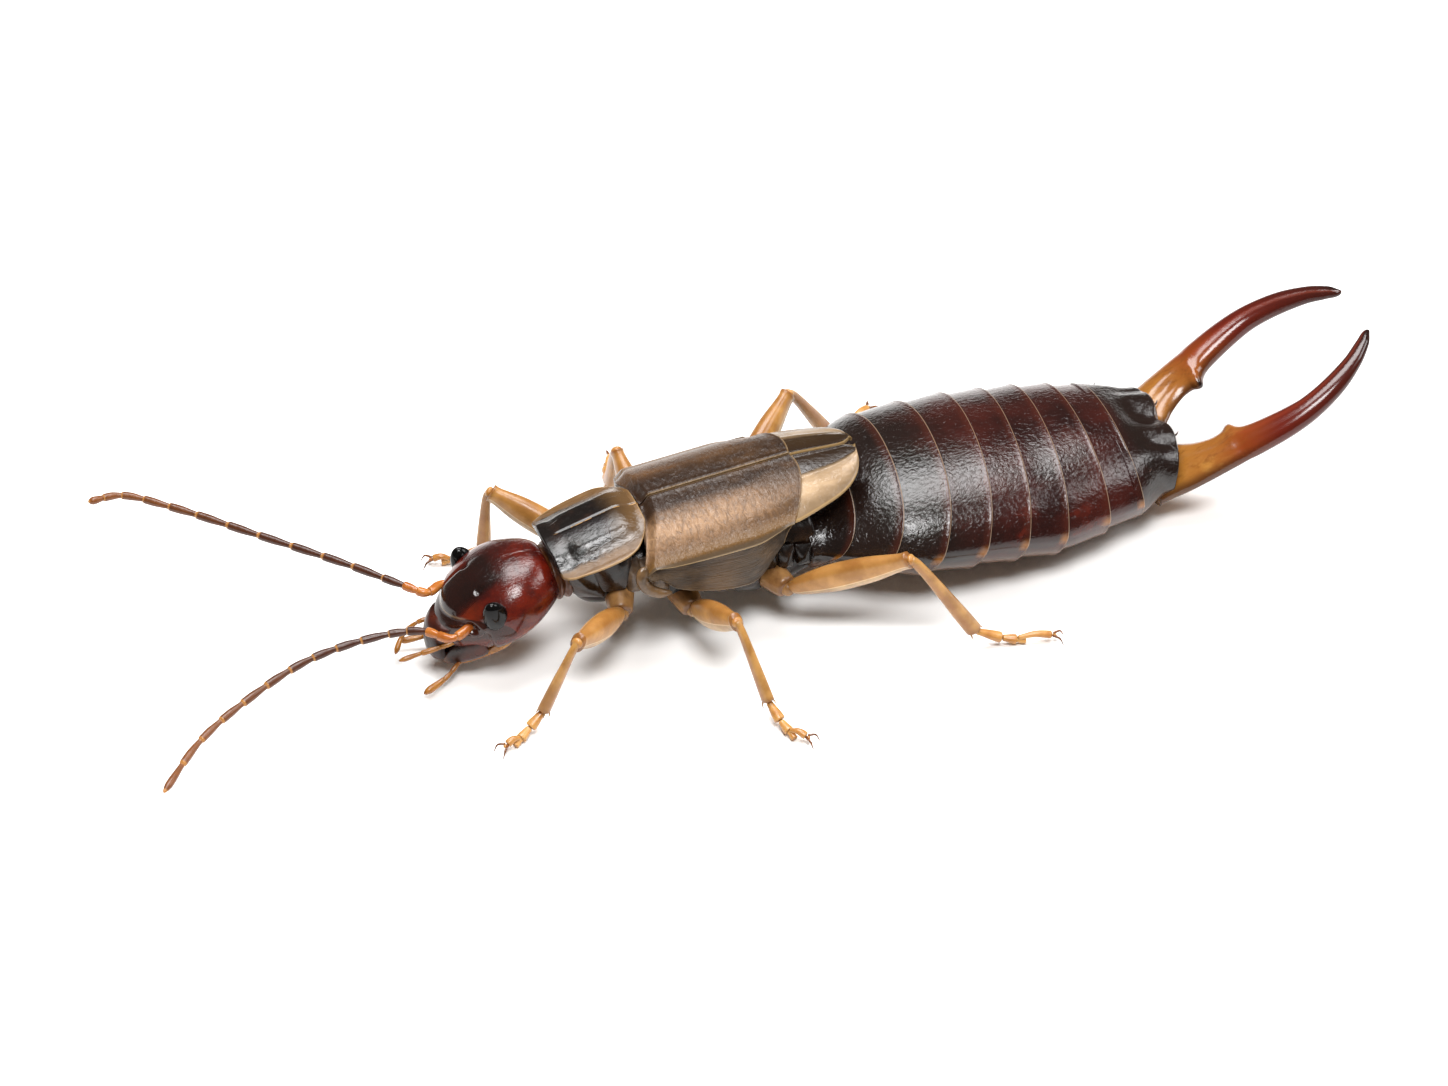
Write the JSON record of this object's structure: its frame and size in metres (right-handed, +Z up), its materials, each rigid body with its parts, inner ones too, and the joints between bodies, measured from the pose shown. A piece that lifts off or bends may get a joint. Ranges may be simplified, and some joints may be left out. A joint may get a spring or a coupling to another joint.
{
  "type": "earwig",
  "caption": "Life-size still model of a male earwig, standing with its feelers spread and its curved rear forceps open.",
  "frame": {"origin": "middle of the bounding box, on the floor that the feet and the belly rest on", "axes": "-X towards the head, +X towards the forceps, -Y to the animal's left, +Z up"},
  "size_m": [0.0226, 0.0088, 0.0027],
  "materials": {
    "head": "glossy red-brown cuticle",
    "eye": "glossy black facets",
    "mouth": "dark brown satin cuticle",
    "amber": "honey-coloured, slightly clear satin cuticle",
    "feeler": "brown satin segments with pale joints",
    "pronotum": "glossy black-brown with clear tan margins",
    "thorax": "dark brown satin cuticle",
    "tegmen": "bronze-brown, finely wrinkled leathery wing case",
    "wing": "pale gold folded wing tip with a dark inner half",
    "abdomen": "glossy black to maroon, finely pitted, with tan rear edges",
    "forceps": "glossy, amber at the root to dark red-brown at the tip"
  },
  "bodies": {
    "root": {"head": "head", "eye_left": "eye", "eye_right": "eye", "labrum": "mouth", "mandible_left": "mouth", "mandible_right": "mouth", "maxillary_palp_left": "amber", "maxillary_palp_right": "amber", "labial_palp_left": "amber", "labial_palp_right": "amber", "antenna_left": "feeler", "antenna_right": "feeler", "neck": "thorax", "prothorax": "thorax", "mesothorax": "thorax", "metathorax": "thorax", "pronotum": "pronotum", "tegmen_left": "tegmen", "wing_left": "wing", "tegmen_right": "tegmen", "wing_right": "wing", "abdomen_1": "abdomen", "abdomen_2": "abdomen", "abdomen_3": "abdomen", "abdomen_4": "abdomen", "abdomen_5": "abdomen", "abdomen_6": "abdomen", "abdomen_7": "abdomen", "abdomen_8": "abdomen", "abdomen_end": "abdomen", "forceps_left": "forceps", "forceps_right": "forceps", "fore_left_coxa": "amber", "fore_left_femur": "amber", "fore_left_tibia": "amber", "fore_left_tarsus": "amber", "fore_right_coxa": "amber", "fore_right_femur": "amber", "fore_right_tibia": "amber", "fore_right_tarsus": "amber", "mid_left_coxa": "amber", "mid_left_femur": "amber", "mid_left_tibia": "amber", "mid_left_tarsus": "amber", "mid_right_coxa": "amber", "mid_right_femur": "amber", "mid_right_tibia": "amber", "mid_right_tarsus": "amber", "hind_left_coxa": "amber", "hind_left_femur": "amber", "hind_left_tibia": "amber", "hind_left_tarsus": "amber", "hind_right_coxa": "amber", "hind_right_femur": "amber", "hind_right_tibia": "amber", "hind_right_tarsus": "amber"}
  },
  "joints": []
}
